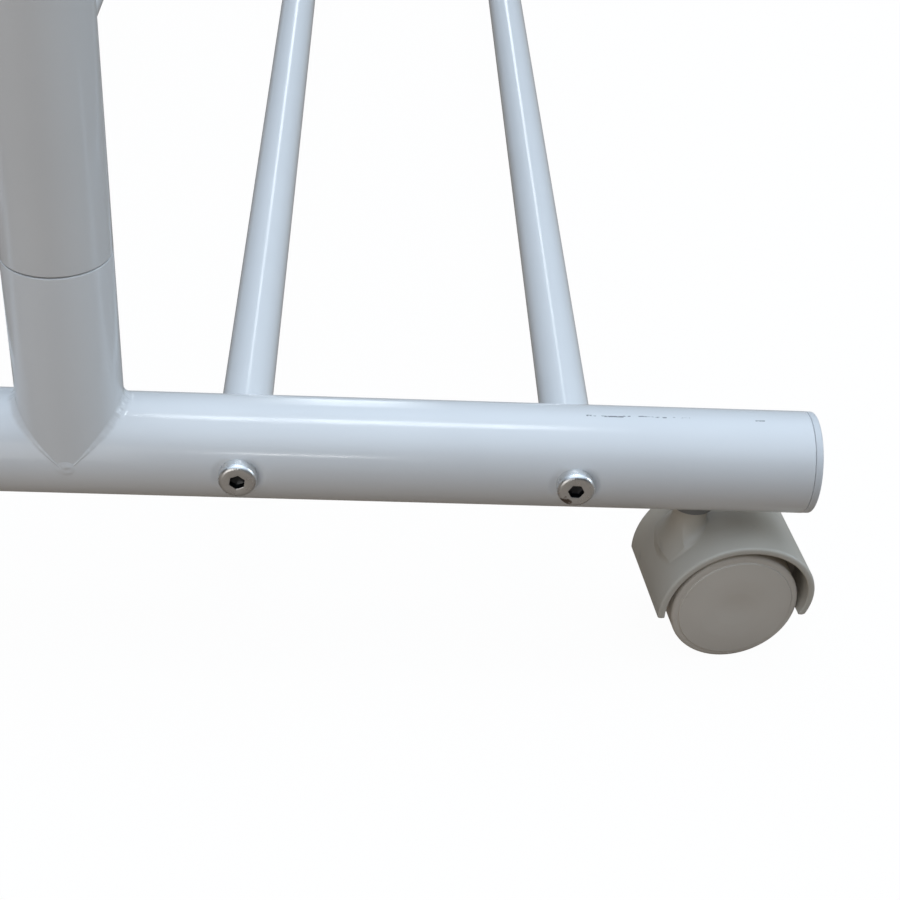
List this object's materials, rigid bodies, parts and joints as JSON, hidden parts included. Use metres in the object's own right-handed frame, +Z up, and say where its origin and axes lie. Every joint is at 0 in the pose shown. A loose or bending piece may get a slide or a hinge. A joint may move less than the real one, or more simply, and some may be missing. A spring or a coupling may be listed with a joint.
{
  "type": "rolling clothes rack",
  "caption": "Free-standing clothes rack on swivel casters: a hanging rail on telescopic posts over a low shelf of parallel rails.",
  "frame": {"origin": "on the floor, below the middle of the rack", "axes": "+X along the hanging rail and the bottom rails, +Y along the feet, +Z up"},
  "size_m": [1.11, 0.5586, 1.5],
  "materials": {
    "white_powder_coat": "glossy white powder coat",
    "white_plastic": "white moulded plastic",
    "zinc_plated_steel": "zinc plated",
    "plain_steel": "plain",
    "grey_plastic": "grey moulded plastic",
    "nylon": "moulded nylon",
    "brass": "turned brass",
    "caster_housing": "satin pale grey moulded plastic",
    "caster_wheel": "satin pale grey moulded plastic"
  },
  "bodies": {
    "root": {"foot_left": "white_powder_coat", "foot_right": "white_powder_coat", "foot_end_plugs": "white_plastic", "post_stub_left": "white_powder_coat", "post_stub_right": "white_powder_coat", "weld_beads": "white_powder_coat", "bottom_rail_1": "white_powder_coat", "bottom_rail_2": "white_powder_coat", "bottom_rail_3": "white_powder_coat", "bottom_rail_4": "white_powder_coat", "rail_nut_plugs": "nylon", "rail_screws": "zinc_plated_steel", "post_spigots": "plain_steel", "lower_post_left": "white_powder_coat", "lower_post_right": "white_powder_coat", "post_lock_screws": "zinc_plated_steel", "collar_left": "grey_plastic", "collar_right": "grey_plastic", "clamp_nuts": "brass", "caster_sockets": "nylon", "caster_stems": "plain_steel", "caster_grip_rings": "plain_steel", "caster_stem_clips": "plain_steel"},
    "hanger": {"inner_post_left": "white_powder_coat", "inner_post_right": "white_powder_coat", "post_guide_bushes": "nylon", "hanging_rail": "white_powder_coat", "hanging_rail_end_caps": "white_plastic", "rail_saddles": "grey_plastic", "top_nuts": "plain_steel", "top_screws": "zinc_plated_steel"},
    "clamp_pad_left": {"clamp_pad_left": "nylon"},
    "clamp_knob_left": {"clamp_knob_left": "grey_plastic", "clamp_screw_left": "plain_steel"},
    "clamp_pad_right": {"clamp_pad_right": "nylon"},
    "clamp_knob_right": {"clamp_knob_right": "grey_plastic", "clamp_screw_right": "plain_steel"},
    "caster_right_back": {"caster_housing_right_back": "caster_housing", "caster_axle_right_back": "plain_steel"},
    "wheel_right_back_a": {"wheel_right_back_a": "caster_wheel"},
    "wheel_right_back_b": {"wheel_right_back_b": "caster_wheel"},
    "caster_left_back": {"caster_housing_left_back": "caster_housing", "caster_axle_left_back": "plain_steel"},
    "wheel_left_back_a": {"wheel_left_back_a": "caster_wheel"},
    "wheel_left_back_b": {"wheel_left_back_b": "caster_wheel"},
    "caster_right_front": {"caster_housing_right_front": "caster_housing", "caster_axle_right_front": "plain_steel"},
    "wheel_right_front_a": {"wheel_right_front_a": "caster_wheel"},
    "wheel_right_front_b": {"wheel_right_front_b": "caster_wheel"},
    "caster_left_front": {"caster_housing_left_front": "caster_housing", "caster_axle_left_front": "plain_steel"},
    "wheel_left_front_a": {"wheel_left_front_a": "caster_wheel"},
    "wheel_left_front_b": {"wheel_left_front_b": "caster_wheel"}
  },
  "joints": [
    {"name": "height_slide", "type": "slide", "parent": "root", "child": "hanger", "axis": [0, 0, 1], "range_m": [-0.24, 0.25]},
    {"name": "clamp_pad_slide_left", "type": "slide", "parent": "root", "child": "clamp_pad_left", "axis": [-1, 0, 0], "range_m": [0, 0.0025]},
    {"name": "clamp_knob_turn_left", "type": "hinge", "parent": "clamp_pad_left", "child": "clamp_knob_left", "pos_m": [-0.49, 0, 0.9875], "axis": [-1, 0, 0], "range_deg": [0, 720]},
    {"name": "clamp_pad_slide_right", "type": "slide", "parent": "root", "child": "clamp_pad_right", "axis": [1, 0, 0], "range_m": [0, 0.0025]},
    {"name": "clamp_knob_turn_right", "type": "hinge", "parent": "clamp_pad_right", "child": "clamp_knob_right", "pos_m": [0.49, 0, 0.9875], "axis": [1, 0, 0], "range_deg": [0, 720]},
    {"name": "caster_swivel_right_back", "type": "hinge", "parent": "root", "child": "caster_right_back", "pos_m": [0.49, 0.2297, 0.063], "axis": [0, 0, 1], "continuous": true},
    {"name": "wheel_spin_right_back_a", "type": "hinge", "parent": "caster_right_back", "child": "wheel_right_back_a", "pos_m": [0.48793, 0.24657, 0.025], "axis": [-0.9925, -0.1219, 0], "continuous": true},
    {"name": "wheel_spin_right_back_b", "type": "hinge", "parent": "caster_right_back", "child": "wheel_right_back_b", "pos_m": [0.48793, 0.24657, 0.025], "axis": [-0.9925, -0.1219, 0], "continuous": true},
    {"name": "caster_swivel_left_back", "type": "hinge", "parent": "root", "child": "caster_left_back", "pos_m": [-0.49, 0.2297, 0.063], "axis": [0, 0, 1], "continuous": true},
    {"name": "wheel_spin_left_back_a", "type": "hinge", "parent": "caster_left_back", "child": "wheel_left_back_a", "pos_m": [-0.48881, 0.24666, 0.025], "axis": [-0.9976, 0.0698, 0], "continuous": true},
    {"name": "wheel_spin_left_back_b", "type": "hinge", "parent": "caster_left_back", "child": "wheel_left_back_b", "pos_m": [-0.48881, 0.24666, 0.025], "axis": [-0.9976, 0.0698, 0], "continuous": true},
    {"name": "caster_swivel_right_front", "type": "hinge", "parent": "root", "child": "caster_right_front", "pos_m": [0.49, -0.2297, 0.063], "axis": [0, 0, 1], "continuous": true},
    {"name": "wheel_spin_right_front_a", "type": "hinge", "parent": "caster_right_front", "child": "wheel_right_front_a", "pos_m": [0.49089, -0.24668, 0.025], "axis": [0.9986, 0.0523, 0], "continuous": true},
    {"name": "wheel_spin_right_front_b", "type": "hinge", "parent": "caster_right_front", "child": "wheel_right_front_b", "pos_m": [0.49089, -0.24668, 0.025], "axis": [0.9986, 0.0523, 0], "continuous": true},
    {"name": "caster_swivel_left_front", "type": "hinge", "parent": "root", "child": "caster_left_front", "pos_m": [-0.49, -0.2297, 0.063], "axis": [0, 0, 1], "continuous": true},
    {"name": "wheel_spin_left_front_a", "type": "hinge", "parent": "caster_left_front", "child": "wheel_left_front_a", "pos_m": [-0.49207, -0.24657, 0.025], "axis": [0.9925, -0.1219, 0], "continuous": true},
    {"name": "wheel_spin_left_front_b", "type": "hinge", "parent": "caster_left_front", "child": "wheel_left_front_b", "pos_m": [-0.49207, -0.24657, 0.025], "axis": [0.9925, -0.1219, 0], "continuous": true}
  ]
}
